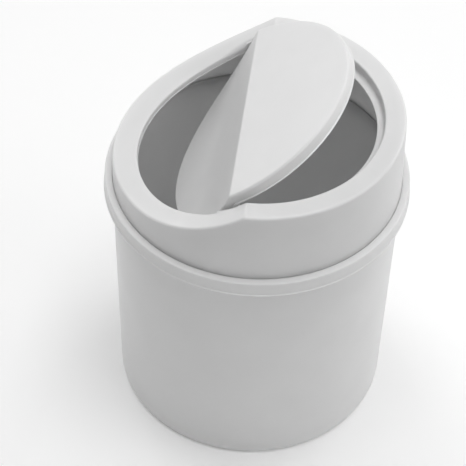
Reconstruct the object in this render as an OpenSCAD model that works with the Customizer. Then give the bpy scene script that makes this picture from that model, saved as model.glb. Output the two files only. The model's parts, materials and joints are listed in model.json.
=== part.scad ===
// Countertop waste bin: a round tub, a lid frame that lifts off it, and a flap that
// swings one way on two moulded pins. The flap is shown pushed open.
// Millimetres, +Z up. The tub's axis is the Z axis and its foot stands on z = 0.
// The ridge of the lid and the flap's pivot axis run along Y.

/* [Tub] */
// Outer diameter of the rim collar
collar_d = 152; // [130:1:180]
// Height of the rim above the table
rim_h = 141; // [110:1:190]
// Wall thickness of the tub
tub_wall = 1.6; // [1.4:0.1:3]
// Thickness of the tub's floor
tub_floor = 2.4; // [1.6:0.1:4]
// How much the wall's radius shrinks from the collar to the foot
tub_draft = 2.2; // [0.5:0.1:6]
// Radius of the rounded edge between the wall and the foot
foot_round = 4; // [3:0.5:8]
// Width of the flat foot ring
foot_ring_w = 5; // [3:0.5:10]
// Depth of the hollow inside the foot ring
foot_recess = 1.2; // [0.4:0.1:2]

/* [Rim collar] */
// How far the collar stands out from the wall
collar_out = 3.6; // [3:0.1:6]
// Height of the collar
collar_h = 7; // [5:0.5:14]
// How far the collar flares out at its lower edge
collar_flare = 0.6; // [0:0.1:1.5]
// Thickness of the collar's top and lip
collar_wall = 1.9; // [1.2:0.1:2.4]
// Depth of the groove in the rim that the lid frame's foot stands in
groove_d = 1.2; // [0.8:0.1:1.5]
// How far the spigot inside the groove stands in from the tub's wall
spigot_in = 0.8; // [0.5:0.1:1.2]
// Gap between the lid frame's foot and each side of the groove
groove_gap = 0.3; // [0.2:0.05:0.4]
// Gap between the lid frame and the spigot's top
lap_play = 1; // [0.3:0.1:1.4]

/* [Lid frame] */
// Height of the flat top above the rim
lid_h = 40.2; // [36:0.2:60]
// Wall thickness of the lid frame
lid_wall = 1.6; // [1.4:0.1:2.4]
// How much the lid's radius shrinks from the rim to the top
lid_draft = 1; // [0:0.1:3]
// Width of the ring round the mouth
ring_w = 10.4; // [8:0.2:16]
// Draft angle of the mouth
mouth_draft = 2; // [0:0.25:4]
// Height of the lip round the mouth
lip_h = 6.6; // [5:0.2:10]
// Thickness of the lip
lip_wall = 1.8; // [1.2:0.1:2.6]

/* [Wave] */
// Place of the ridge, from the tub's axis
ridge_x = 0.5; // [-6:0.5:6]
// Slope just below the ridge, in degrees
ridge_slope = 37.2; // [25:0.2:45]
// Radius of the hollow that the slope runs into
wave_r = 141.4; // [120:0.2:180]

/* [Ledge] */
// How far the ledge under the closed flap reaches in
ledge_w = 3.3; // [2.8:0.1:5]
// Thickness of the ledge
ledge_t = 1.8; // [1.2:0.1:3]
// Distance of the ledge's ends from the ridge
ledge_start = 5; // [3:0.5:15]

/* [Flap] */
// Gap between the flap and the mouth at the top
flap_gap = 1.8; // [1:0.1:3]
// Draft angle of the flap's edge
flap_draft = 4.5; // [3:0.25:6]
// Thickness of the flap
flap_t = 1.6; // [1.2:0.1:2.2]
// Height of the flap's skirt
skirt_h = 6; // [5:0.2:9]
// Gap left between the closed flap and its ledge
seat_gap = 0.2; // [0.1:0.05:0.5]
// Angle at which the flap is shown, from closed
flap_angle = 34; // [0:1:40]

/* [Pivots] */
// Place of the pivot axis, from the ridge
pivot_back = 4.8; // [3:0.2:8]
// Depth of the pivot axis under the flat top
pivot_drop = 13.4; // [11:0.2:16]
// Radius of the pins
pin_r = 2.3; // [1.6:0.1:2.6]
// Radial clearance of a pin in its socket
pin_clear = 0.08; // [0.04:0.01:0.1]
// Radius of the flap's ear round a pin
ear_r = 5; // [4.4:0.1:5.4]
// Thickness of an ear
ear_t = 2.2; // [1.6:0.1:3]
// Radius of the shoulder at the root of a pin
shoulder_r = 3.6; // [3:0.1:4]
// Gap between a shoulder and its socket
shoulder_gap = 0.3; // [0.2:0.05:0.6]
// Thickness of a socket
socket_t = 3; // [2.2:0.1:4]
// Radius of a socket's rounded end
socket_r = 9; // [8.6:0.1:11]
// Share of the pin's width that the snap-in slot lets through
slot_share = 0.8; // [0.7:0.02:0.9]

/* [Stop] */
// Widest angle that the flap opens to
open_max = 40; // [40:1:50]
// Length of the heel under a pin
heel_len = 8.4; // [8:0.1:9]
// Width of the heel
heel_w = 3; // [2:0.1:4]
// Radius of the stop peg
peg_r = 1.4; // [1:0.1:1.6]
// Distance of the stop peg from the pivot axis
peg_dist = 7.1; // [6.9:0.1:7.4]
// Gap left between the heel and the peg at the widest opening
stop_gap = 0.15; // [0.1:0.05:0.4]

/* [Hidden] */
$fn = 144;
wave_fn = 360;
// How far working columns run on above the lid before they are cut
lid_over = 2;
// How far a cut runs past the face that it goes through
cut_over = 1;

// Tub, from the collar inwards and from the foot upwards
collar_r = collar_d / 2;
tub_top_r = collar_r - collar_out;
tub_foot_r = tub_top_r - tub_draft;
collar_z = rim_h - collar_h;
floor_z = foot_recess + tub_floor;
lid_foot_z = rim_h - groove_d;
// Width and height of the slope between the collar's underside and the wall
collar_root = 1.2;
collar_under_z = rim_h - collar_wall;
root_z = collar_under_z - collar_root;
collar_root_r = tub_top_r - tub_draft * (rim_h - root_z) / (rim_h - foot_round);
least_round = 1;
inner_round = max(foot_round - tub_wall, least_round);
foot_flat_r = tub_foot_r - foot_round;
wall_in_r = tub_top_r - tub_wall;
foot_in_r = tub_foot_r - tub_wall;
spigot_in_r = wall_in_r - spigot_in;
// How far the wall's plain part ends below the groove
neck_t = 1.5;

// Lid frame
lid_foot_r = tub_top_r - groove_gap;
lid_top_r = lid_foot_r - lid_draft;
lid_top = rim_h + lid_h;
mouth_r = lid_top_r - ring_w;
// The rebate takes half of the lid's wall, and the spigot stands inside it
rebate_r = lid_foot_r - lid_wall / 2;
spigot_r = rebate_r - groove_gap;
// Centre of the hollow: it passes through the ridge at the stated slope
wave_x = ridge_x - wave_r * sin(ridge_slope);
wave_z = lid_top + wave_r * cos(ridge_slope);
span = 2 * collar_r;

// Flap and pivots, in the closed position
flap_r = mouth_r - flap_gap;
ledge_z = lid_top - skirt_h - seat_gap;
ledge_in_r = mouth_r_at(ledge_z) - ledge_w;
pivot_x = ridge_x - pivot_back;
pivot_z = lid_top - pivot_drop;
socket_out_r = mouth_r + socket_t;
reach_x = abs(pivot_x) + shoulder_r;
shoulder_y = sqrt(pow(mouth_r_at(pivot_z - shoulder_r), 2) - pow(reach_x, 2)) - shoulder_gap;
pin_root = 1;
pin_root_y = flap_r_at(pivot_z) - ear_t / 2 - pin_root;
pin_end_y = sqrt(pow(socket_out_r, 2) - pow(abs(pivot_x) + pin_r, 2)) - shoulder_gap;
peg_angle = open_max - 90 + asin((heel_w / 2 + peg_r + stop_gap) / peg_dist);
peg_y = flap_r_at(pivot_z) - ear_t;
rib_t = 1.6;

function mouth_r_at(z) = mouth_r - (lid_top - z) * tan(mouth_draft);
function flap_r_at(z) = flap_r - (lid_top - z) * tan(flap_draft);

// Everything below the wave-shaped top: inset is measured square to the surface,
// and drop straight down
module under_wave(inset = 0, drop = 0) {
    translate([0, 0, -drop])
        rotate([90, 0, 0])
            linear_extrude(height = 2 * span, center = true)
                difference() {
                    translate([-span, 0])
                        square([2 * span, lid_top - inset]);
                    translate([wave_x, wave_z])
                        circle(r = wave_r + inset, $fn = wave_fn);
                }
}

// A tapered column of radius r at the flat top, which narrows by slope for each
// millimetre further down. It starts below the rim by under and ends above the lid.
module column(r, slope, under = 0) {
    z0 = rim_h - under;
    translate([0, 0, z0])
        cylinder(h = lid_top + lid_over - z0,
                 r1 = r - slope * (lid_top - z0), r2 = r + slope * lid_over);
}

// Column whose side is the lid's outer wall, taken in by inset
module lid_cone(inset = 0, under = 0) {
    column(lid_top_r - inset, -lid_draft / lid_h, under);
}

// Column whose side follows the mouth, moved outwards by grow
module mouth_cone(grow = 0) {
    column(mouth_r + grow, tan(mouth_draft), cut_over);
}

// Column whose side follows the flap's edge, taken in by inset
module flap_cone(inset = 0) {
    column(flap_r - inset, tan(flap_draft), cut_over);
}

// A bar of round section on the pivot axis, from y0 to y1, and its twin at the back
module along_pivot(r, y0, y1) {
    for (side = [-1, 1])
        translate([pivot_x, side * y0, pivot_z])
            rotate([-90 * side, 0, 0])
                cylinder(h = y1 - y0, r = r);
}

// A tongue of half-width r that hangs from the top and is rounded about the pivot
module tongue(r) {
    translate([pivot_x, 0, pivot_z])
        rotate([90, 0, 0])
            linear_extrude(height = 2 * span, center = true)
                union() {
                    circle(r = r);
                    translate([-r, 0])
                        square([2 * r, pivot_drop]);
                }
}

// Half section of the tub's outside: foot, wall, the collar with its lip that is
// open downwards, and the groove with the spigot inside it
module tub_outline() {
    polygon([[0, foot_recess],
             [foot_flat_r - foot_ring_w, foot_recess],
             [foot_flat_r - foot_ring_w, 0],
             [foot_flat_r, 0],
             [tub_foot_r, foot_round],
             [collar_root_r, root_z],
             [collar_root_r + collar_root, collar_under_z],
             [collar_r - collar_wall, collar_under_z],
             [collar_r + collar_flare - collar_wall, collar_z],
             [collar_r + collar_flare, collar_z],
             [collar_r, rim_h],
             [tub_top_r, rim_h],
             [tub_top_r, lid_foot_z],
             [spigot_r, lid_foot_z],
             [spigot_r, rim_h],
             [0, rim_h]]);
    translate([foot_flat_r, foot_round])
        circle(r = foot_round);
}

// Half section of the tub's inside
module tub_hollow() {
    polygon([[0, floor_z],
             [foot_in_r - inner_round, floor_z],
             [foot_in_r, floor_z + inner_round],
             [wall_in_r, lid_foot_z - neck_t],
             [spigot_in_r, lid_foot_z - neck_t + spigot_in],
             [spigot_in_r, rim_h + cut_over],
             [0, rim_h + cut_over]]);
    translate([foot_in_r - inner_round, floor_z + inner_round])
        circle(r = inner_round);
}

module bin_body() {
    color([0.80, 0.80, 0.80])
        rotate_extrude()
            difference() {
                tub_outline();
                tub_hollow();
            }
}

// The lid's wall and its wave-shaped ring
module lid_shell() {
    difference() {
        intersection() {
            lid_cone(0, groove_d);
            under_wave();
        }
        intersection() {
            lid_cone(lid_wall, groove_d + cut_over);
            under_wave(inset = lid_wall);
        }
        mouth_cone();
        translate([0, 0, lid_foot_z - cut_over])
            cylinder(h = cut_over + groove_d + lap_play, r = rebate_r);
    }
}

// The lip that hangs from the inner edge of the ring
module lip() {
    difference() {
        intersection() {
            mouth_cone(lip_wall);
            under_wave(inset = lid_wall / 2);
        }
        under_wave(drop = lip_h);
        mouth_cone();
    }
}

// The ledge that the high half of the closed flap comes down on
module ledge() {
    intersection() {
        translate([0, 0, ledge_z - ledge_t])
            difference() {
                cylinder(h = ledge_t, r = mouth_r + lip_wall);
                translate([0, 0, -cut_over])
                    cylinder(h = ledge_t + 2 * cut_over, r = ledge_in_r);
            }
        translate([ridge_x + ledge_start, -span, 0])
            cube([span, 2 * span, lid_top]);
    }
}

// The two sockets that the flap's pins snap into, with a rib on each side of them
module sockets() {
    difference() {
        union() {
            intersection() {
                difference() {
                    translate([0, 0, rim_h])
                        cylinder(h = lid_h, r = socket_out_r);
                    mouth_cone();
                }
                tongue(socket_r);
                under_wave(inset = lid_wall / 2);
            }
            socket_ribs();
        }
        along_pivot(pin_r + pin_clear, pin_root_y, socket_out_r + cut_over);
        for (side = [-1, 1])
            translate([pivot_x - pin_r * slot_share, side * (mouth_r + socket_t / 2) - socket_t, 0])
                cube([2 * pin_r * slot_share, 2 * socket_t, pivot_z]);
    }
    stop_pegs();
}

// Ribs between a socket and the lid's wall
module socket_ribs() {
    intersection() {
        difference() {
            lid_cone(lid_wall / 2);
            translate([0, 0, rim_h])
                cylinder(h = lid_h, r = socket_out_r - socket_t / 2);
        }
        under_wave(inset = lid_wall / 2);
        union()
            for (side = [-1, 1])
                translate([pivot_x + side * (socket_r - rib_t) - rib_t / 2, -span, pivot_z])
                    cube([rib_t, 2 * span, pivot_drop]);
    }
}

// The pegs that the flap's heels meet at the widest opening
module stop_pegs() {
    for (side = [-1, 1])
        translate([pivot_x + peg_dist * cos(peg_angle), side * peg_y,
                   pivot_z + peg_dist * sin(peg_angle)])
            rotate([-90 * side, 0, 0])
                cylinder(h = mouth_r + socket_t / 2 - peg_y, r = peg_r);
}

module lid_frame() {
    color([0.82, 0.82, 0.82])
        union() {
            lid_shell();
            lip();
            ledge();
            sockets();
        }
}

// The flap's plate and skirt, closed
module flap_shell() {
    difference() {
        intersection() {
            flap_cone();
            under_wave();
        }
        under_wave(drop = skirt_h);
        intersection() {
            flap_cone(flap_t);
            under_wave(inset = flap_t);
        }
    }
}

// The two ears under the skirt, each with a pin, its shoulder and a stop heel
module flap_ears() {
    intersection() {
        difference() {
            flap_cone();
            flap_cone(ear_t);
        }
        under_wave(inset = flap_t / 2);
        union() {
            tongue(ear_r);
            translate([pivot_x - heel_w / 2, -span, pivot_z - heel_len])
                cube([heel_w, 2 * span, heel_len]);
        }
    }
    along_pivot(shoulder_r, pin_root_y, shoulder_y);
    along_pivot(pin_r, pin_root_y, pin_end_y);
}

module swing_flap() {
    color([0.84, 0.84, 0.84])
        translate([pivot_x, 0, pivot_z])
            rotate([0, -flap_angle, 0])
                translate([-pivot_x, 0, -pivot_z])
                    union() {
                        flap_shell();
                        flap_ears();
                    }
}

bin_body();
lid_frame();
swing_flap();
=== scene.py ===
"""Finished look of a countertop waste bin with a swing flap: a tub, a lid frame and the flap.

Sizes are given in metres, as Blender shows them, and the shapes are worked out in
millimetres in the same frame as the construction model.
"""

import json
import math

import bmesh
import bpy
from bpy.props import FloatProperty, FloatVectorProperty, IntProperty, PointerProperty
from mathutils import Matrix, Vector


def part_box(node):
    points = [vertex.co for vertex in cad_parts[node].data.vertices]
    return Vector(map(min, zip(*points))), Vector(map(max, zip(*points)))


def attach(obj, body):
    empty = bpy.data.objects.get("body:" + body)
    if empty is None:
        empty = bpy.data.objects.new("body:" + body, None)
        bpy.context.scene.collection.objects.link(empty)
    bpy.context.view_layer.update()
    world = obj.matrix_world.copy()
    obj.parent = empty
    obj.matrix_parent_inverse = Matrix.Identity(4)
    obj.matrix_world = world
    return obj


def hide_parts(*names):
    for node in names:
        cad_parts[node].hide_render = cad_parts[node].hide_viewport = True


bl_info = {
    "name": "Swing Lid Bin",
    "version": (1, 0, 0),
    "blender": (4, 5, 0),
    "location": "3D View > Sidebar > Bin",
    "description": "Makes the finished surfaces of a countertop bin with a swing flap",
    "category": "Add Mesh",
}

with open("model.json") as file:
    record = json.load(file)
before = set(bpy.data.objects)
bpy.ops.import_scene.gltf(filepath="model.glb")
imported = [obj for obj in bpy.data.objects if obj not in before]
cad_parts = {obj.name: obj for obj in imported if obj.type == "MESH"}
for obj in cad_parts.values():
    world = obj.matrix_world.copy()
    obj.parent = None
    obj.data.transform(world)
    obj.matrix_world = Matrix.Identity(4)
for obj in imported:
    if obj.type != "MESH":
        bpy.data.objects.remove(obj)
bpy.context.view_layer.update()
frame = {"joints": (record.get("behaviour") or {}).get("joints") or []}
TUB_LOW, TUB_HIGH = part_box("bin_body")
LID_LOW, LID_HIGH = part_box("lid_frame")
FLAP_HINGE = next(j for j in frame["joints"] if j["name"] == "flap_swing")
MM = 0.001
# Place of the flap's pivot axis along X and Z, in millimetres
PIVOT = (FLAP_HINGE["pos_m"][0] / MM, FLAP_HINGE["pos_m"][2] / MM)
# Points closer than this are one, and edges that turn by more than this are drawn sharp
SAME_PLACE = 1e-7
SHARP_TURN = math.radians(40)
# How far sockets and ears stay behind the faces of the mouth and the skirt, in millimetres
SET_BACK = 0.02


def number(name, description, default, low=0.0, high=1.0, **more):
    """A plain number between two limits."""
    return FloatProperty(name=name, description=description, default=default, min=low, max=high, **more)


def length(name, description, default, low=0.0, high=1.0):
    """A size in metres that the sidebar shows with its unit."""
    kind = {"precision": 5, "subtype": "DISTANCE", "unit": "LENGTH"}
    return number(name, description, default, low, high, **kind)


def angle(name, description, degrees, low, high):
    """An angle that the sidebar shows in degrees."""
    values = [math.radians(a) for a in (degrees, low, high)]
    return number(name, description, *values, subtype="ANGLE", unit="ROTATION")


def power(name, description, default):
    """Power of a light in watts."""
    return number(name, description, default, 0.0, 1000.0, subtype="POWER", unit="POWER")


def shade(name, description, grey):
    """A colour that starts as an even grey."""
    return FloatVectorProperty(
        name=name,
        description=description,
        default=(grey, grey, grey),
        min=0.0,
        max=1.0,
        subtype="COLOR",
    )


class BinTubSettings(bpy.types.PropertyGroup):
    """Sizes of the tub."""

    rim_height: length("Rim height", "Height of the rim above the table", TUB_HIGH.z)
    collar_radius: length("Collar radius", "Outer radius of the collar at its lower edge", TUB_HIGH.x)
    collar_flare: length("Collar flare", "How much the collar narrows towards the rim", 0.0006)
    collar_height: length("Collar height", "Height of the collar", 0.0079)
    collar_out: length("Collar overhang", "How far the collar stands out from the wall", 0.0036)
    collar_wall: length("Collar thickness", "Thickness of the collar's top and lip", 0.0019)
    collar_edge: length("Collar rounding", "Radius of the collar's upper edge", 0.0007)
    lip_edge: length("Lip rounding", "Radius of the collar's lower edges", 0.0003)
    bead_height: length("Bead height", "Height over which the collar flares at its lower edge", 0.0009)
    collar_root: length("Collar root", "Width and height of the slope under the collar", 0.0012)
    draft: length("Draft", "How much the wall narrows down to the foot", 0.0022)
    wall: length("Wall thickness", "Thickness of the tub's wall", 0.0016)
    floor: length("Floor thickness", "Thickness of the tub's floor", 0.0024)
    foot_round: length("Foot rounding", "Radius of the edge between wall and foot", 0.004)
    foot_ring: length("Foot ring", "Width of the flat ring that the tub stands on", 0.005)
    foot_recess: length("Foot recess", "Depth of the hollow inside the foot ring", 0.0012)
    groove_depth: length("Groove depth", "Depth of the lid frame's groove", TUB_HIGH.z - LID_LOW.z)
    groove_radius: length("Groove radius", "Radius of the groove's outer side", LID_HIGH.x + 0.00012)
    spigot_radius: length("Spigot radius", "Outer radius of the spigot inside the groove", 0.071)
    spigot_in: length("Spigot step", "How far the spigot stands in from the wall", 0.0008)
    spigot_foot: length("Spigot foot", "How far the spigot reaches down below the groove", 0.0007)
    sides: IntProperty(name="Sides", description="Faces round the tub", default=288, min=48, max=720)


class BinLidSettings(bpy.types.PropertyGroup):
    """Sizes of the lid frame."""

    top_height: length("Top height", "Height of the flat half of the top", LID_HIGH.z)
    foot_height: length("Foot height", "Height of the wall's lower end above the table", LID_LOW.z)
    foot_radius: length("Foot radius", "Outer radius of the wall's lower end", LID_HIGH.x)
    draft: length("Draft", "How much the wall narrows up to the top", 0.00103)
    wall: length("Wall thickness", "Thickness of the wall and of the ring", 0.0016)
    ring_width: length("Ring width", "Width of the ring round the mouth", 0.0104)
    mouth_draft: angle("Mouth draft", "Draft angle of the mouth", 2.0, 0.0, 5.0)
    ridge_place: length("Ridge place", "Place of the ridge along X", 0.0005, -0.01, 0.01)
    ridge_slope: angle("Ridge slope", "Slope just below the ridge", 37.2, 20.0, 50.0)
    wave_radius: length("Wave radius", "Radius of the hollow that the slope runs into", 0.1414)
    ridge_round: length("Ridge rounding", "Radius of the rounded ridge", 0.003)
    outer_edge: length("Outer edge rounding", "Radius of the ring's outer edge", 0.0013)
    inner_edge: length("Inner edge rounding", "Radius of the mouth's edge", 0.0008)
    inner_edge_ridge: length("Inner edge at the ridge", "Radius of the mouth's edge there", 0.0026)
    dish: length("Dish", "How far the low half of the ring falls towards the mouth", 0.0022)
    dish_margin: length("Dish margin", "Width of the ring's outer strip that doesn't fall", 0.001)
    dish_start: length("Dish start", "Distance from the ridge at which the fall starts", 0.005)
    dish_full: length("Dish end", "Distance from the ridge at which the fall is full", 0.03)
    dish_power: number("Dish power", "How late the fall comes on the way inwards", 1.3, 1.0, 4.0)
    lip_edge: length("Lip rounding", "Radius of the lip's lower edges", 0.0002)
    bead: length("Bead", "How far the lip's lower edge stands in", 0.0003)
    bead_height: length("Bead height", "Height over which the lip's lower edge stands in", 0.0007)
    foot_edge: length("Foot edge rounding", "Radius of the wall's lower edge", 0.0005)
    lip_height: length("Lip height", "Height of the lip round the mouth", 0.0061)
    lip_wall: length("Lip thickness", "Thickness of the lip's lower edge", 0.0018)
    rebate_radius: length("Rebate radius", "Radius inside the wall's lower end", 0.0713)
    rebate_height: length("Rebate height", "Height of the rebate that takes the spigot", 0.0022)
    ledge_width: length("Ledge width", "How far the flap's ledge reaches in", 0.0033)
    ledge_wall: length("Ledge thickness", "Thickness of the flap's ledge", 0.0018)
    ledge_fillet: length("Ledge fillet", "Radius of the hollow between ledge and lip", 0.002)
    ledge_drop: length("Ledge drop", "Depth of the flap's ledge under the flat top", 0.0062)
    ledge_start: length("Ledge start", "Distance of the ledge's ends from the ridge", 0.005)
    socket_radius: length("Socket radius", "Radius of a socket's rounded end", 0.009)
    socket_wall: length("Socket thickness", "Thickness of a socket", 0.003)
    bore_radius: length("Bore radius", "Radius of the hole that a pin turns in", 0.00238)
    slot_width: length("Slot width", "Width of the slot that a pin snaps through", 0.00368)
    rib_wall: length("Rib thickness", "Thickness of the ribs behind a socket", 0.0016)
    peg_radius: length("Peg radius", "Radius of the peg that stops the opening flap", 0.0014)
    peg_start: length("Peg start", "Place of a peg's free end along Y", 0.0557)
    peg_place: length("Peg distance", "Distance of the peg from the pivot axis", 0.0071)
    peg_angle: angle("Peg angle", "Direction of the peg from the pivot axis", -24.56, -90.0, 90.0)


class BinFlapSettings(bpy.types.PropertyGroup):
    """Sizes of the flap."""

    gap: length("Gap", "Gap between the flap and the mouth at the top", 0.0018)
    draft: angle("Draft", "Draft angle of the flap's edge", 4.5, 0.0, 8.0)
    wall: length("Thickness", "Thickness of the flap", 0.0016)
    skirt: length("Skirt height", "Height of the flap's skirt", 0.006)
    edge: length("Edge rounding", "Radius of the flap's upper edge", 0.0012)
    lower_edge: length("Lower edge rounding", "Radius of the skirt's lower edges", 0.0002)
    bead: length("Bead", "How far the skirt's lower edge stands out", 0.0006)
    bead_height: length("Bead height", "Height over which the skirt's lower edge stands out", 0.0008)
    margin: length("Margin", "Width of the round strip along the plate's edge", 0.0024)
    under_margin: length("Under margin", "How much wider that strip is underneath", 0.0018)
    ridge_round: length("Ridge rounding", "Radius of the flap's rounded ridge", 0.0026)
    opened: angle("Opened", "Angle at which the flap is shown, from closed", 34.0, 0.0, 40.0)
    ear_radius: length("Ear radius", "Radius of the ear round a pin", 0.005)
    ear_wall: length("Ear thickness", "Thickness of an ear", 0.0022)
    shoulder_radius: length("Shoulder radius", "Radius of the shoulder at a pin's root", 0.0036)
    shoulder_end: length("Shoulder end", "Place of a shoulder's end along Y", 0.0593)
    pin_radius: length("Pin radius", "Radius of a pin", 0.0023)
    pin_end: length("Pin end", "Place of a pin's end along Y", 0.06305)
    heel_length: length("Heel length", "Reach of the stop heel below the pivot axis", 0.0084)
    heel_width: length("Heel width", "Width of the stop heel", 0.003)


class BinFinishSettings(bpy.types.PropertyGroup):
    """Colour and texture of the moulded plastic."""

    color: shade("Plastic", "Colour of the plastic", 0.86)
    variation: number("Variation", "How far the colour drifts over a piece", 0.014, 0.0, 0.2)
    roughness: number("Roughness", "Roughness of the plastic", 0.38)
    roughness_drift: number("Roughness drift", "How far the roughness drifts", 0.06, 0.0, 0.3)
    gloss: number("Gloss", "Strength of the plastic's reflections", 0.5)
    glow: number("Glow", "Share of the light that passes into the plastic", 0.5)
    glow_reach: length("Glow reach", "How far light spreads in the tub and the flap", 0.003)
    frame_glow_reach: length("Frame glow reach", "How far light spreads in the lid frame", 0.005)
    grain: length("Grain", "Distance between the grains of the mould's texture", 0.0006, 0.0001, 0.01)
    grain_depth: length("Grain depth", "Depth of the mould's texture", 0.000012, 0.0, 0.001)
    sink: length("Sink", "Distance between the faint waves of the moulding", 0.03, 0.001, 0.5)
    sink_depth: length("Sink depth", "Depth of the faint waves of the moulding", 0.00006, 0.0, 0.001)


class BinStageSettings(bpy.types.PropertyGroup):
    """Floor, lights and camera."""

    floor_color: shade("Floor", "Colour of the floor", 0.97)
    floor_size: length("Floor size", "Length of the floor's sides", 8.0, 0.5, 50.0)
    floor_glow: number("Floor glow", "Strength of the light from the lit paper", 0.11, 0.0, 2.0)
    surround: number("Surround", "Strength of the even light from all round", 0.1, 0.0, 5.0)
    light_distance: length("Light distance", "Distance of the soft lights from the bin", 1.8, 0.5, 10.0)
    light_size: length("Light size", "Length of a soft light's sides", 1.2, 0.1, 5.0)
    overhead: power("Overhead", "Power of the light straight above", 17.4)
    right_high: power("High right", "Power of the light high on the right", 5.2)
    right_low: power("Low right", "Power of the low light on the right", 2.4)
    back_right: power("Back right", "Power of the low light behind and to the right", 7.4)
    back_left: power("Back left", "Power of the low light behind and to the left", 8.4)
    camera_place: FloatVectorProperty(
        name="Camera place",
        description="Place of the camera",
        default=(0.05867, -0.69645, 0.85128),
        subtype="TRANSLATION",
        unit="LENGTH",
    )
    camera_turn: FloatVectorProperty(
        name="Camera turn",
        description="Turn of the camera about X, Y and Z",
        default=(0.745324, -0.020725, 0.122549),
        subtype="EULER",
        unit="ROTATION",
    )
    lens: number("Lens", "Focal length of the camera", 154.506, 10.0, 500.0, unit="CAMERA")


# Where each soft light stands: degrees round from the front to the right, and degrees up
LIGHT_DIRECTIONS = {
    "overhead": (0, 90),
    "right_high": (60, 60),
    "right_low": (90, 25),
    "back_right": (135, 25),
    "back_left": (225, 25),
}
# The point in metres that the lights face
LIT_POINT = Vector((0.0, 0.0, 0.1))
# Where the grain of each plastic is taken from, so that no two mouldings show the same
GRAIN_PLACES = {
    "tub_plastic": (0.0, 0.0, 0.0),
    "frame_plastic": (0.31, 0.12, 0.05),
    "flap_plastic": (0.07, 0.43, 0.21),
}
# Cosines of the angle from -X between which the mouth's edge grows rounder, then sharper
ROUNDER = (-0.02, 0.2)
SHARPER = (0.25, 0.45)


# Outlines and grids


def arc(centre, radius, start, end, steps):
    """Points on a circle about a centre, from one angle to another."""
    turns = [start + (end - start) * k / steps for k in range(steps + 1)]
    return [(centre[0] + radius * math.cos(t), centre[1] + radius * math.sin(t)) for t in turns]


def between(start, end, parts):
    """The values that cut the way from start to end into equal parts, without the two ends."""
    return [start + (end - start) * k / parts for k in range(1, parts)]


def corner(before, point, after, radius, steps=4):
    """Points of the arc that rounds a corner, from the side of before to the side of after."""
    into = (Vector(before) - Vector(point)).normalized()
    out = (Vector(after) - Vector(point)).normalized()
    opening = into.angle(out)
    reach = radius / math.tan(opening / 2)
    centre = Vector(point) + (into + out).normalized() * (radius / math.sin(opening / 2))
    first = Vector(point) + into * reach - centre
    last = Vector(point) + out * reach - centre
    start = math.atan2(first.y, first.x)
    sweep = math.atan2(first.x * last.y - first.y * last.x, first.dot(last))
    return arc(centre, first.length, start, start + sweep, steps)


def rounded(points, closed=False, steps=6):
    """A line through points (a, b, radius) with an arc at each point that has a radius."""
    line = []
    count = len(points)
    for i, (a, b, radius) in enumerate(points):
        end = not closed and i in (0, count - 1)
        if end or radius <= 0:
            line.append((a, b))
            continue
        line += corner(points[i - 1][:2], (a, b), points[(i + 1) % count][:2], radius, steps)
    return line


def finish_mesh(name, bm):
    """Closes off a bmesh as an object with outward faces and smooth shading."""
    bmesh.ops.remove_doubles(bm, verts=bm.verts, dist=SAME_PLACE)
    bmesh.ops.dissolve_degenerate(bm, edges=bm.edges, dist=SAME_PLACE)
    bmesh.ops.recalc_face_normals(bm, faces=bm.faces)
    mesh = bpy.data.meshes.new(name)
    bm.to_mesh(mesh)
    bm.free()
    for face in mesh.polygons:
        face.use_smooth = True
    mesh.set_sharp_from_angle(angle=SHARP_TURN)
    obj = bpy.data.objects.new(name, mesh)
    bpy.context.scene.collection.objects.link(obj)
    shading = obj.modifiers.new("even_shading", "WEIGHTED_NORMAL")
    shading.keep_sharp = True
    return obj


def join_rings(bm, rings, around=True, along=False):
    """Quads between neighbouring rings of vertices, which all have as many points.

    Each ring is closed where around is set, and the row of rings where along is set.
    """
    following = rings[1:] + rings[:1] if along else rings[1:]
    for here, there in zip(rings, following):
        count = len(here)
        for i in range(count if around else count - 1):
            j = (i + 1) % count
            corners = []
            for vert in (here[i], here[j], there[j], there[i]):
                if vert not in corners:
                    corners.append(vert)
            if len(corners) > 2:
                bm.faces.new(corners)


def lathe(bm, profile, place, sides):
    """Turns a profile of (radius, height) about an axis; place gives the point for each."""
    rings = []
    for radius, height in profile:
        if radius < SAME_PLACE:
            pole = bm.verts.new(place(0.0, 0.0, height))
            rings.append([pole] * sides)
            continue
        ring = []
        for k in range(sides):
            turn = 2 * math.pi * k / sides
            ring.append(bm.verts.new(place(radius * math.cos(turn), radius * math.sin(turn), height)))
        rings.append(ring)
    join_rings(bm, rings)


def upright(x, y, z):
    """A point in millimetres, as Blender's metres."""
    return Vector((x, y, z)) * MM


def section_verts(bm, section, turn):
    """Vertices of a section of (radius, height), turned about the bin's axis."""
    return [bm.verts.new(upright(r * math.cos(turn), r * math.sin(turn), z)) for r, z in section]


def on_round(radius, side):
    """Gives Y on a round face whose radius depends on height, at the front or the back."""
    return lambda x, z: side * math.sqrt(radius(z) ** 2 - x**2)


def plate_from_outline(bm, outline, near, far, cuts=2):
    """A closed plate over an outline in X and Z; near and far give Y on its two faces."""
    flat = bmesh.new()
    verts = [flat.verts.new((x, 0.0, z)) for x, z in outline]
    flat.faces.new(verts)
    bmesh.ops.triangulate(flat, faces=flat.faces)
    bmesh.ops.subdivide_edges(flat, edges=flat.edges, cuts=cuts, use_grid_fill=True)
    bmesh.ops.triangulate(flat, faces=flat.faces)
    flat.verts.index_update()
    sides = []
    for face_y in (near, far):
        points = [(v.co.x, face_y(v.co.x, v.co.z), v.co.z) for v in flat.verts]
        sides.append([bm.verts.new(upright(*point)) for point in points])
    for face in flat.faces:
        bm.faces.new([sides[0][v.index] for v in face.verts])
        bm.faces.new([sides[1][v.index] for v in reversed(face.verts)])
    for edge in flat.edges:
        if edge.is_boundary:
            a, b = (v.index for v in edge.verts)
            bm.faces.new([sides[0][a], sides[0][b], sides[1][b], sides[1][a]])
    flat.free()


# The wave-shaped top, in millimetres


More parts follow.
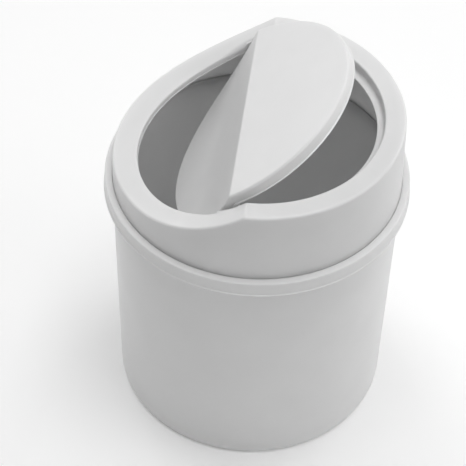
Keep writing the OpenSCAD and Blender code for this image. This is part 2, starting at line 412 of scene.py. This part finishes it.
class Wave:
    """Height of the lid's top line, and of lines at a depth below it."""

    def __init__(self, lid, rounding):
        self.top = lid.top_height / MM
        self.radius = lid.wave_radius / MM
        self.ridge = lid.ridge_place / MM
        self.slope = lid.ridge_slope
        self.rounding = rounding / MM
        self.x = self.ridge - self.radius * math.sin(self.slope)
        self.z = self.top + self.radius * math.cos(self.slope)
        self.reach = self.rounding * math.tan(self.slope / 2)

    def at(self, x):
        """Height of the top surface."""
        if x >= self.ridge + self.reach:
            return self.top
        if x > self.ridge - self.reach * math.cos(self.slope):
            off = x - self.ridge - self.reach
            return self.top - self.rounding + math.sqrt(self.rounding**2 - off**2)
        return self.z - math.sqrt(self.radius**2 - (x - self.x) ** 2)

    def under(self, x, depth):
        """Height of the surface that lies a depth inside the top, measured square to it."""
        if x > self.ridge:
            return self.top - depth
        hollow = self.z - math.sqrt((self.radius + depth) ** 2 - (x - self.x) ** 2)
        return min(self.top - depth, hollow)


def round_turns(coarse, fine=0.16):
    """Angles all the way round, coarse degrees apart, and fine where the ridge crosses the ring."""
    # Middle and half width of the fine stretch, in degrees from +X
    middle = 89.5
    half = 2.4
    turns = set()
    for k in range(int(360 / coarse)):
        turn = k * coarse
        off = abs((turn + 180) % 360 - 180) - middle
        if abs(off) > half:
            turns.add(round(turn, 4))
    count = int(2 * half / fine)
    for side in (-1, 1):
        for k in range(count + 1):
            turns.add(round((side * (middle - half + 2 * half * k / count)) % 360, 4))
    return [math.radians(t) for t in sorted(turns)]


def blend_between(value, low, high):
    """0 below low, 1 above high, and a soft step between."""
    t = min(max((value - low) / (high - low), 0.0), 1.0)
    return t * t * (3 - 2 * t)


# Plastic


def add_node(tree, kind, place, values, links=()):
    """A shader node with values on its inputs, and links of (output, input name) into it."""
    node = tree.nodes.new(kind)
    node.location = place
    for name, value in values.items():
        node.inputs[name].default_value = value
    for output, name in links:
        tree.links.new(output, node.inputs[name])
    return node


def moulded_plastic(name, finish, glow_reach):
    """Matte moulded plastic: a faint drift of colour, fine grain and the waves of the moulding."""
    material = bpy.data.materials.new(name)
    material.use_nodes = True
    tree = material.node_tree
    tree.nodes.clear()
    own = add_node(tree, "ShaderNodeTexCoord", (-900, 0), {}).outputs["Object"]
    shift = {"Location": GRAIN_PLACES[name]}
    moved = add_node(tree, "ShaderNodeMapping", (-700, 0), shift, [(own, "Vector")])

    noises = {}
    for part, values in {
        "drift": {"Scale": 1.0 / finish.sink, "Detail": 3.0},
        "grain": {"Scale": 1.0 / finish.grain, "Detail": 2.0, "Roughness": 0.6},
        "waves": {"Scale": 1.0 / finish.sink, "Detail": 1.0},
    }.items():
        level = -240 * len(noises)
        source = [(moved.outputs["Vector"], "Vector")]
        noise = add_node(tree, "ShaderNodeTexNoise", (-480, level), values, source)
        noises[part] = noise.outputs["Fac"]

    tint = add_node(tree, "ShaderNodeValToRGB", (-240, 0), {}, [(noises["drift"], "Fac")])
    for end, place, step in zip(tint.color_ramp.elements, (0.32, 0.68), (-1, 1)):
        end.position = place
        end.color = (*(min(c * (1 + step * finish.variation), 1.0) for c in finish.color), 1)
    drift = finish.roughness_drift
    limits = {"To Min": finish.roughness - drift, "To Max": finish.roughness + drift}
    rough = add_node(tree, "ShaderNodeMapRange", (-240, -240), limits, [(noises["grain"], "Value")])

    normal = None
    for part, depth in (("waves", finish.sink_depth), ("grain", finish.grain_depth)):
        source = [(noises[part], "Height")]
        if normal:
            source.append((normal, "Normal"))
        values = {"Strength": 1.0, "Distance": depth}
        normal = add_node(tree, "ShaderNodeBump", (0, -480), values, source).outputs["Normal"]

    values = {
        "Specular IOR Level": finish.gloss,
        "IOR": 1.49,
        "Subsurface Weight": finish.glow,
        "Subsurface Radius": (1.0, 1.0, 1.0),
        "Subsurface Scale": glow_reach,
    }
    source = [
        (tint.outputs["Color"], "Base Color"),
        (rough.outputs["Result"], "Roughness"),
        (normal, "Normal"),
    ]
    plastic = add_node(tree, "ShaderNodeBsdfPrincipled", (240, 0), values, source)
    surface = [(plastic.outputs["BSDF"], "Surface")]
    add_node(tree, "ShaderNodeOutputMaterial", (520, 0), {}, surface)
    return material


def dress(obj, material, body, node):
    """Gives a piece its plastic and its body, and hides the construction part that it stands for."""
    obj.data.materials.append(material)
    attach(obj, body)
    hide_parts(node)


# Tub


def tub_profile(tub):
    """Half section of the tub, from the middle of its underside to the middle of its floor."""
    rim = tub.rim_height / MM
    collar = tub.collar_radius / MM
    lip = tub.collar_wall / MM
    under = rim - tub.collar_height / MM
    upper = collar - tub.collar_flare / MM
    wall_top = upper - tub.collar_out / MM
    wall_foot = wall_top - tub.draft / MM
    foot = tub.foot_round / MM
    recess = tub.foot_recess / MM
    ring_out = wall_foot - foot
    ring_in = ring_out - tub.foot_ring / MM
    inside_top = wall_top - tub.wall / MM
    inside_foot = wall_foot - tub.wall / MM
    floor = recess + tub.floor / MM
    spigot = tub.spigot_radius / MM
    spigot_step = tub.spigot_in / MM
    spigot_in = inside_top - spigot_step
    groove = rim - tub.groove_depth / MM
    groove_side = tub.groove_radius / MM
    spigot_low = groove - tub.spigot_foot / MM
    wall_high = spigot_low - spigot_step
    slope = tub.collar_root / MM
    root_z = rim - lip - slope
    root = wall_top - (wall_top - wall_foot) * (rim - root_z) / (rim - foot)
    edge = tub.lip_edge / MM
    # Width of the slope round the hollow under the floor, and small roundings
    recess_slope = 1.2
    recess_round = 1.0
    ring_edge = 0.5
    root_round = 0.5
    inner_round = 0.3
    groove_edge = 0.15
    groove_round = 0.1
    spigot_edge = 0.2
    spigot_round = 0.3
    # Straight edge of the collar's bead, how far its upper end stands out, and its roundings
    bead_straight = 0.1
    bead_out = 0.05
    bead_edge = 0.15
    bead_round = 0.4
    # The walls are cut into levels, which stop short of the bends at the inside's two ends
    levels = 24
    bend_above = 1.5
    bend_below = 3.0
    # How far the inside stands out where the lower bend begins
    lean_below = 0.03

    line = rounded(
        [
            (0.0, recess, 0),
            (ring_in - recess_slope, recess, recess_round),
            (ring_in, 0.0, ring_edge),
            (ring_out, 0.0, 0),
        ]
    )
    line += arc((ring_out, foot), foot, -math.pi / 2, 0.0, 16)[1:]
    line += zip(between(wall_foot, root, levels), between(foot, root_z, levels))
    line += rounded(
        [
            (wall_foot, foot, 0),
            (root, root_z, root_round),
            (root + slope, rim - lip, inner_round),
            (upper - lip, rim - lip, inner_round),
            (collar - lip, under, edge),
            (collar, under, edge),
            (collar, under + edge + bead_straight, bead_edge),
            (upper + bead_out, under + tub.bead_height / MM, bead_round),
            (upper, rim, tub.collar_edge / MM),
            (groove_side, rim, groove_edge),
            (groove_side, groove, groove_round),
            (spigot, groove, groove_round),
            (spigot, rim, spigot_edge),
            (spigot_in, rim, spigot_round),
            (spigot_in, spigot_low, spigot_round),
            (inside_top, wall_high, root_round),
            (inside_foot, floor, 0),
        ]
    )[1:-1]
    top = wall_high - bend_above
    low = floor + bend_below
    for z in [top] + between(top, low, levels):
        line.append((inside_foot + (inside_top - inside_foot) * (z - floor) / (wall_high - floor), z))
    bend = foot - tub.wall / MM
    inside_low = (inside_foot + lean_below, low, 0)
    return line + rounded([inside_low, (inside_foot, floor, bend), (0.0, floor, 0)])


class BIN_OT_make_tub(bpy.types.Operator):
    """Make the tub: wall, rounded foot, hollow collar and spigot"""

    bl_idname = "bin.make_tub"
    bl_label = "Make Tub"

    def execute(self, context):
        tub = context.scene.bin_tub
        bm = bmesh.new()
        lathe(bm, tub_profile(tub), upright, tub.sides)
        piece = finish_mesh("tub_moulding", bm)
        finish = context.scene.bin_finish
        plastic = moulded_plastic("tub_plastic", finish, finish.glow_reach)
        dress(piece, plastic, "tub", "bin_body")
        return {"FINISHED"}


# Lid frame


class MouthShape:
    """Radii of the lid's wall and of its mouth at a height, in millimetres."""

    def __init__(self, lid):
        self.foot = lid.foot_height / MM
        self.top = lid.top_height / MM
        self.foot_radius = lid.foot_radius / MM
        self.top_radius = self.foot_radius - lid.draft / MM
        self.mouth_radius = self.top_radius - lid.ring_width / MM
        self.mouth_slope = math.tan(lid.mouth_draft)

    def outer(self, z):
        """Outer radius of the wall."""
        widening = self.foot_radius - self.top_radius
        return self.top_radius + widening * (self.top - z) / (self.top - self.foot)

    def mouth(self, z):
        """Radius of the mouth."""
        return self.mouth_radius - (self.top - z) * self.mouth_slope


def meet(surface, side, turn):
    """Radius and height at which a side that depends on height meets the surface over X."""
    z = surface(0.0)
    for _ in range(7):
        z = surface(side(z) * math.cos(turn))
    return side(z), z


def edge_arc(surface, side, turn, radius, steps, inwards):
    """Rounded edge between the wave-shaped top and a side, from the side to the top."""
    r, z = meet(surface, side, turn)
    cosine = math.cos(turn)
    reach = 1.0
    step = reach if inwards else -reach
    top_next = (r + step, surface((r + step) * cosine))
    side_next = (side(z - reach), z - reach)
    line = corner(side_next, (r, z), top_next, radius, steps)
    slope = (top_next[1] - z) / step
    tangent = line[-1]
    fix = surface(tangent[0] * cosine) - (z + slope * (tangent[0] - r))
    return [(p[0], p[1] + fix * k / steps) for k, p in enumerate(line)]


def beaded_edge(points, low_edge, bead_edge, bead_round):
    """Lower edge of a lip with a bead, from the face above it round to the face behind it."""
    before, bead_top, bead_foot, heel, after = points
    bead_side = (bead_foot[0], bead_foot[1] + 2 * low_edge)
    line = corner(before, bead_top, bead_side, bead_round)
    line += corner(bead_top, bead_side, bead_foot, bead_edge, 2)
    line += corner(bead_side, bead_foot, heel, low_edge, 3)
    return line + corner(bead_foot, heel, after, low_edge)


class RingFaces:
    """Top and underside of the ring along one direction, in millimetres."""

    def __init__(self, lid, shape, wave, cosine):
        self.wave = wave
        self.cosine = cosine
        self.wall = lid.wall / MM
        self.depth = lid.dish / MM
        self.start = lid.dish_start / MM
        self.full = lid.dish_full / MM
        self.power = lid.dish_power
        self.margin_end = shape.top_radius - lid.dish_margin / MM
        self.width = (lid.ring_width - lid.dish_margin) / MM

    def dish(self, x):
        """How far the ring lies below the wave, which grows towards the mouth on the low side."""
        past = blend_between(self.wave.ridge - x, self.start, self.full)
        if past == 0:
            return 0.0
        inwards = (self.margin_end - x / self.cosine) / self.width
        return self.depth * past * min(max(inwards, 0.0), 1.0) ** self.power

    def top(self, x):
        """Height of the top."""
        return self.wave.at(x) - self.dish(x)

    def under(self, x):
        """Height of the underside."""
        return self.wave.under(x, self.wall) - self.dish(x)


def wall_line(lid, shape, wave, turn):
    """Outside of the lid frame's wall, from its lower end round the ring's outer edge."""
    lower_end = (shape.foot_radius, shape.foot)
    upper_end = (shape.top_radius, shape.top)
    line = corner((0.0, shape.foot), lower_end, upper_end, lid.foot_edge / MM, 5)
    outer_edge = edge_arc(wave.at, shape.outer, turn, lid.outer_edge / MM, 8, inwards=False)
    line += [(shape.outer(z), z) for z in between(line[-1][1], outer_edge[0][1], 8)]
    return line + outer_edge


def inside_line(lid, shape, ring, wall_in, lip_root, root_round):
    """Inside of the lid frame, from the ring's underside down to the wall's lower end."""
    wall = lid.wall / MM
    rebate = lid.rebate_radius / MM
    rebate_top = shape.foot + lid.rebate_height / MM
    # Rounding under the ring's outer edge, and bevels above, in and below the rebate
    wall_round = 1.0
    bevel = 0.25
    nick = 0.05
    low_bevel = 0.2
    start, end = lip_root[0] + root_round, wall_in[0] - wall_round
    line = [(r, ring.under(r * ring.cosine)) for r in between(start, end, 4)]
    line += corner(lip_root, wall_in, (shape.outer(shape.foot) - wall, rebate_top), wall_round)
    inside = shape.outer(rebate_top) - wall
    return line + [
        (inside, rebate_top + bevel),
        (inside + bevel, rebate_top),
        (rebate - nick, rebate_top),
        (rebate, rebate_top - nick),
        (rebate, shape.foot + low_bevel),
        (rebate + low_bevel, shape.foot),
    ]


def lid_section(lid, shape, wave, turn):
    """Section of the lid frame at one angle: wall, ring, lip and underside, as a closed line."""
    cosine = math.cos(turn)
    ring = RingFaces(lid, shape, wave, cosine)
    line = wall_line(lid, shape, wave, turn)

    below_ridge = blend_between(-cosine, *ROUNDER) * (1 - blend_between(-cosine, *SHARPER))
    softening = (lid.inner_edge_ridge - lid.inner_edge) * below_ridge
    inner_edge = (lid.inner_edge + softening) / MM
    mouth_edge = edge_arc(ring.top, shape.mouth, turn, inner_edge, 12, inwards=True)[::-1]
    for r in between(line[-1][0], mouth_edge[0][0], 8):
        line.append((r, ring.top(r * cosine)))
    line += mouth_edge

    # How far the lip widens over its bead and up to the ring, and the rounding at its root
    bead_lean = 0.02
    lip_lean = 0.14
    root_round = 0.7
    lip_height = lid.lip_height / MM
    lip_z = wave.at(meet(wave.at, shape.mouth, turn)[0] * cosine) - lip_height
    lip_r = shape.mouth(lip_z)
    outside_r = lip_r + lid.lip_wall / MM
    outside = (outside_r, wave.at(outside_r * cosine) - lip_height)
    bead_top = (lip_r + bead_lean, lip_z + lid.bead_height / MM)
    bead_foot = (lip_r - lid.bead / MM, lip_z)
    lip = (line[-1], bead_top, bead_foot, outside, (outside_r, shape.top))
    line += beaded_edge(lip, lid.lip_edge / MM, bead_edge=0.1, bead_round=0.3)

    root_r = outside_r + lip_lean
    lip_root = (root_r, ring.under(root_r * cosine))
    wall_in = meet(ring.under, lambda z: shape.outer(z) - lid.wall / MM, turn)
    line += corner(outside, lip_root, wall_in, root_round)
    return line + inside_line(lid, shape, ring, wall_in, lip_root, root_round)


def ledge_section(lid, shape):
    """Section of the ledge that the flap's high half comes down on."""
    top = shape.top - lid.ledge_drop / MM
    under = top - lid.ledge_wall / MM
    fillet = lid.ledge_fillet / MM
    upper_edge = 0.4
    lower_edge = 0.55
    # Height of the strip above the fillet, and how far the fillet runs into the lip
    strip = 0.1
    sunk = 0.05
    cover = top + fillet + strip
    lip = shape.mouth(top) + sunk
    outside = lip + lid.lip_wall / MM / 2
    inside = shape.mouth(top) - lid.ledge_width / MM
    return rounded(
        [
            (inside, top, upper_edge),
            (lip, top, fillet),
            (lip, cover, 0),
            (outside, cover, 0),
            (outside, under, 0),
            (inside, under, lower_edge),
        ],
        closed=True,
    )


def under_top(wave, radius, inset, steps):
    """Line just below the top, a radius to each side of the pivot axis, from high to low."""
    places = [PIVOT[0] + radius - 2 * radius * k / steps for k in range(steps + 1)]
    return [(x, wave.under(x, inset)) for x in places]


def socket_outline(lid, wave):
    """Outline of a socket in X and Z: a tongue with a rounded end, a bore and a snap-in slot."""
    radius = lid.socket_radius / MM
    bore = lid.bore_radius / MM
    half = lid.slot_width / MM / 2
    down = -math.pi / 2
    slot_turn = math.asin(half / radius)
    bore_turn = math.asin(half / bore)
    line = under_top(wave, radius, lid.wall / MM / 2, 12)
    line += arc(PIVOT, radius, -math.pi, down - slot_turn, 16)
    line += arc(PIVOT, bore, down - bore_turn, down + bore_turn - 2 * math.pi, 32)
    return line + arc(PIVOT, radius, down + slot_turn, 0.0, 16)


def along_y(centre, side):
    """Places a lathe's points round an axis along Y, at the front or the back."""
    return lambda a, b, y: upright(centre[0] + a, side * y, centre[1] + b)


def lid_moulding(lid, shape, wave):
    """Wall, ring and lip in one turn round the bin's axis."""
    bm = bmesh.new()
    rings = []
    for turn in round_turns(coarse=1.25):
        rings.append(section_verts(bm, lid_section(lid, shape, wave, turn), turn))
    join_rings(bm, rings, along=True)
    return finish_mesh("lid_moulding", bm)


def lid_ledge(lid, shape):
    """Ledge along the high half of the mouth, with its two ends cut off square to X."""
    bm = bmesh.new()
    section = ledge_section(lid, shape)
    start = (lid.ridge_place + lid.ledge_start) / MM
    steps = 120
    rings = []
    for k in range(steps + 1):
        part = 2 * k / steps - 1
        ring = []
        for r, z in section:
            ring += section_verts(bm, [(r, z)], part * math.acos(start / r))
        rings.append(ring)
    join_rings(bm, rings)
    bm.faces.new(rings[0])
    bm.faces.new(rings[-1])
    return finish_mesh("lid_ledge", bm)


def lid_sockets(lid, shape, wave):
    """The two sockets with their slots, stop pegs and ribs."""
    bm = bmesh.new()
    back = shape.mouth_radius + lid.socket_wall / MM
    outline = socket_outline(lid, wave)
    peg_x = PIVOT[0] + lid.peg_place / MM * math.cos(lid.peg_angle)
    peg_z = PIVOT[1] + lid.peg_place / MM * math.sin(lid.peg_angle)
    peg_r = lid.peg_radius / MM
    peg_edge = 0.35
    # Pegs and ribs end inside the walls that they join
    peg_inset = 1.5
    rib_inset = 1.0
    rib_wall = lid.rib_wall / MM
    start, end = lid.peg_start / MM, back - peg_inset
    peg = rounded([(0, start, 0), (peg_r, start, peg_edge), (peg_r, end, 0), (0, end, 0)], steps=4)
    for side in (-1, 1):
        near = on_round(lambda z: shape.mouth(z) + SET_BACK, side)
        plate_from_outline(bm, outline, near, on_round(lambda z: back, side))
        lathe(bm, peg, along_y((peg_x, peg_z), side), sides=24)
        near = on_round(lambda z: back - rib_inset, side)
        far = on_round(lambda z: shape.outer(z) - rib_inset, side)
        for rib in (-1, 1):
            middle = PIVOT[0] + rib * (lid.socket_radius / MM - rib_wall)
            low, high = middle - rib_wall / 2, middle + rib_wall / 2
            edge = [(low, PIVOT[1]), (high, PIVOT[1])]
            edge += [(x, wave.under(x, rib_inset)) for x in (high, low)]
            plate_from_outline(bm, edge, near, far, cuts=1)
    return finish_mesh("lid_sockets", bm)


class BIN_OT_make_lid_frame(bpy.types.Operator):
    """Make the lid frame: wall, ring round the mouth, lip, ledge, sockets and stop pegs"""

    bl_idname = "bin.make_lid_frame"
    bl_label = "Make Lid Frame"

    def execute(self, context):
        scene = context.scene
        lid = scene.bin_lid
        shape = MouthShape(lid)
        wave = Wave(lid, lid.ridge_round)
        finish = scene.bin_finish
        plastic = moulded_plastic("frame_plastic", finish, finish.frame_glow_reach)
        for piece in (
            lid_moulding(lid, shape, wave),
            lid_ledge(lid, shape),
            lid_sockets(lid, shape, wave),
        ):
            dress(piece, plastic, "lid", "lid_frame")
        return {"FINISHED"}


# Flap


def flap_rim(flap, edge_r, wave, turn, inner_top, inner_under):
    """Rounded edge and skirt of the closed flap at one angle, from its top to its underside."""
    cosine = math.cos(turn)
    wall = flap.wall / MM
    line = [(inner_top, wave.at(inner_top * cosine))]
    line += edge_arc(wave.at, edge_r, turn, flap.edge / MM, 8, inwards=False)[::-1]
    top = line[-1]

    def skirt_foot(r):
        """Point of the skirt's lower edge at a radius."""
        return (r, wave.at(r * cosine) - flap.skirt / MM)

    foot_r, foot_z = skirt_foot(meet(lambda x: wave.at(x) - flap.skirt / MM, edge_r, turn)[0])
    bead_z = foot_z + flap.bead_height / MM
    bead_top = (edge_r(bead_z), bead_z)
    straight_end = bead_z + flap.lower_edge / MM
    line += zip(between(top[0], bead_top[0], 4), between(top[1], straight_end, 4))
    bead_foot = skirt_foot(foot_r + flap.bead / MM)
    heel = skirt_foot(foot_r - wall)
    root = meet(lambda x: wave.under(x, wall), lambda z: edge_r(z) - wall, turn)
    lip = (top, bead_top, bead_foot, heel, root)
    line += beaded_edge(lip, flap.lower_edge / MM, bead_edge=0.15, bead_round=0.4)
    inner = (inner_under, wave.under(inner_under * cosine, wall))
    return line + corner(heel, root, inner, radius=0.8) + [inner]


def flap_face(bm, near_and_far, radius, height):
    """Closes one face of the flap with rows of points between the two halves of its rim."""
    rows = 26
    strips = []
    for turn, near, far in near_and_far:
        if near is far:
            strips.append([far] * (rows + 1))
            continue
        x, reach = radius * math.cos(turn), radius * math.sin(turn)
        places = between(-reach, reach, rows)
        strips.append([near] + [bm.verts.new(upright(x, y, height(x))) for y in places] + [far])
    join_rings(bm, strips, around=False)


def flap_moulding(flap, wave, edge_r, top_r):
    """Plate and skirt of the closed flap."""
    bm = bmesh.new()
    turns = round_turns(coarse=1.5)
    inner_top = edge_r(wave.at(-top_r)) - flap.margin / MM
    inner_under = inner_top - flap.under_margin / MM
    rings = []
    for turn in turns:
        line = flap_rim(flap, edge_r, wave, turn, inner_top, inner_under)
        rings.append(section_verts(bm, line, turn))
    join_rings(bm, rings, around=False, along=True)
    by_turn = {round(math.degrees(t), 3): ring for t, ring in zip(turns, rings)}
    pairs = []
    for turn in turns:
        degrees = math.degrees(turn)
        if degrees <= 180:
            pairs.append((turn, by_turn[round(-degrees % 360, 3)], by_turn[round(degrees, 3)]))
    top_pairs = [(turn, near[0], far[0]) for turn, near, far in pairs]
    under_pairs = [(turn, near[-1], far[-1]) for turn, near, far in pairs]
    flap_face(bm, top_pairs, inner_top, wave.at)
    flap_face(bm, under_pairs, inner_under, lambda x: wave.under(x, flap.wall / MM))
    return finish_mesh("flap_moulding", bm)


def ear_outline(flap, wave):
    """Outline of an ear in X and Z, with its stop heel."""
    radius = flap.ear_radius / MM
    half = flap.heel_width / MM / 2
    heel = PIVOT[1] - flap.heel_length / MM
    bevel = 0.5
    split = math.acos(half / radius)
    low, high = PIVOT[0] - half, PIVOT[0] + half
    line = under_top(wave, radius, flap.wall / MM / 2, 8)
    line += arc(PIVOT, radius, -math.pi, split - math.pi, 12)
    line += [(low, heel + bevel), (low + bevel, heel), (high - bevel, heel), (high, heel + bevel)]
    return line + arc(PIVOT, radius, -split, 0.0, 12)


def flap_pivots(flap, wave, edge_r):
    """Ears, shoulders, pins and stop heels of the closed flap."""
    bm = bmesh.new()
    outline = ear_outline(flap, wave)
    ear_wall = flap.ear_wall / MM
    root = edge_r(PIVOT[1]) - ear_wall / 2
    shoulder, pin = flap.shoulder_radius / MM, flap.pin_radius / MM
    shoulder_end, pin_end = flap.shoulder_end / MM, flap.pin_end / MM
    shoulder_edge = 0.3
    pin_root = 0.15
    pin_edge = 0.4
    pin_line = rounded(
        [
            (0, root, 0),
            (shoulder, root, 0),
            (shoulder, shoulder_end, shoulder_edge),
            (pin, shoulder_end, pin_root),
            (pin, pin_end, pin_edge),
            (0, pin_end, 0),
        ],
        steps=4,
    )
    for side in (-1, 1):
        near = on_round(lambda z: edge_r(z) - ear_wall, side)
        plate_from_outline(bm, outline, near, on_round(lambda z: edge_r(z) - SET_BACK, side))
        lathe(bm, pin_line, along_y(PIVOT, side), sides=32)
    return finish_mesh("flap_pivots", bm)


class BIN_OT_make_flap(bpy.types.Operator):
    """Make the flap: wave-shaped plate with its skirt, and the ears with their pins"""

    bl_idname = "bin.make_flap"
    bl_label = "Make Flap"

    def execute(self, context):
        scene = context.scene
        flap = scene.bin_flap
        shape = MouthShape(scene.bin_lid)
        wave = Wave(scene.bin_lid, flap.ridge_round)
        top_r = shape.mouth_radius - flap.gap / MM
        narrowing = math.tan(flap.draft)
        pivot = Matrix.Translation(FLAP_HINGE["pos_m"])
        opened = pivot @ Matrix.Rotation(flap.opened, 4, Vector(FLAP_HINGE["axis"])) @ pivot.inverted()

        def edge_r(z):
            """Outer radius of the closed flap at a height."""
            return top_r - (shape.top - z) * narrowing

        finish = scene.bin_finish
        plastic = moulded_plastic("flap_plastic", finish, finish.glow_reach)
        for piece in (flap_moulding(flap, wave, edge_r, top_r), flap_pivots(flap, wave, edge_r)):
            piece.data.transform(opened)
            dress(piece, plastic, "flap", "swing_flap")
        return {"FINISHED"}


# Stage


def soft_light(name, stage):
    """A square soft light that faces the bin from its own direction."""
    round_turn, up = (math.radians(a) for a in LIGHT_DIRECTIONS[name])
    flat = math.cos(up)
    direction = Vector((math.sin(round_turn) * flat, -math.cos(round_turn) * flat, math.sin(up)))
    data = bpy.data.lights.new("light_" + name, "AREA")
    data.shape = "SQUARE"
    data.size = stage.light_size
    data.energy = getattr(stage, name)
    obj = bpy.data.objects.new("light_" + name, data)
    obj.location = LIT_POINT + direction * stage.light_distance
    obj.rotation_euler = (-direction).to_track_quat("-Z", "Y").to_euler()
    bpy.context.scene.collection.objects.link(obj)


class BIN_OT_make_stage(bpy.types.Operator):
    """Make the pale floor, the soft lights and the camera"""

    bl_idname = "bin.make_stage"
    bl_label = "Make Stage"

    def execute(self, context):
        scene = context.scene
        stage = scene.bin_stage
        half = stage.floor_size / 2
        mesh = bpy.data.meshes.new("floor")
        corners = [(-half, -half, 0), (half, -half, 0), (half, half, 0), (-half, half, 0)]
        mesh.from_pydata(corners, [], [(0, 1, 2, 3)])
        floor = bpy.data.objects.new("floor", mesh)
        scene.collection.objects.link(floor)
        paper = bpy.data.materials.new("floor_paper")
        paper.use_nodes = True
        surface = paper.node_tree.nodes["Principled BSDF"]
        surface.inputs["Base Color"].default_value = (*stage.floor_color, 1)
        surface.inputs["Roughness"].default_value = 0.9
        surface.inputs["Specular IOR Level"].default_value = 0.1
        surface.inputs["Emission Color"].default_value = (1, 1, 1, 1)
        surface.inputs["Emission Strength"].default_value = stage.floor_glow
        mesh.materials.append(paper)

        for name in LIGHT_DIRECTIONS:
            soft_light(name, stage)

        world = bpy.data.worlds.new("surround")
        world.use_nodes = True
        world.node_tree.nodes["Background"].inputs["Color"].default_value = (1, 1, 1, 1)
        world.node_tree.nodes["Background"].inputs["Strength"].default_value = stage.surround
        scene.world = world

        data = bpy.data.cameras.new("camera")
        data.lens = stage.lens
        data.sensor_width = 36.0
        data.clip_end = 50.0
        camera = bpy.data.objects.new("camera", data)
        camera.location = stage.camera_place
        camera.rotation_euler = stage.camera_turn
        scene.collection.objects.link(camera)
        scene.camera = camera
        scene.view_settings.view_transform = "Standard"
        return {"FINISHED"}


class BIN_PT_pieces(bpy.types.Panel):
    """Lists the bin's pieces and the stage."""

    bl_label = "Swing Lid Bin"
    bl_space_type = "VIEW_3D"
    bl_region_type = "UI"
    bl_category = "Bin"

    def draw(self, context):
        scene = context.scene
        for settings, operator in (
            (scene.bin_tub, "bin.make_tub"),
            (scene.bin_lid, "bin.make_lid_frame"),
            (scene.bin_flap, "bin.make_flap"),
            (scene.bin_stage, "bin.make_stage"),
        ):
            box = self.layout.box()
            for name in settings.__annotations__:
                box.prop(settings, name)
            box.operator(operator)
        finish = self.layout.box()
        for name in scene.bin_finish.__annotations__:
            finish.prop(scene.bin_finish, name)


SETTINGS = {
    "bin_tub": BinTubSettings,
    "bin_lid": BinLidSettings,
    "bin_flap": BinFlapSettings,
    "bin_finish": BinFinishSettings,
    "bin_stage": BinStageSettings,
}
OPERATORS = (BIN_OT_make_tub, BIN_OT_make_lid_frame, BIN_OT_make_flap, BIN_OT_make_stage)


def register():
    """Adds the settings, the operators and the panel."""
    for name, group in SETTINGS.items():
        bpy.utils.register_class(group)
        setattr(bpy.types.Scene, name, PointerProperty(type=group))
    for operator in OPERATORS:
        bpy.utils.register_class(operator)
    bpy.utils.register_class(BIN_PT_pieces)


def unregister():
    """Takes them away again."""
    bpy.utils.unregister_class(BIN_PT_pieces)
    for operator in reversed(OPERATORS):
        bpy.utils.unregister_class(operator)
    for name, group in reversed(SETTINGS.items()):
        delattr(bpy.types.Scene, name)
        bpy.utils.unregister_class(group)


def main():
    """Makes the pieces and the stage."""
    register()
    bpy.ops.bin.make_tub()
    bpy.ops.bin.make_lid_frame()
    bpy.ops.bin.make_flap()
    bpy.ops.bin.make_stage()


if __name__ == "__main__":
    main()
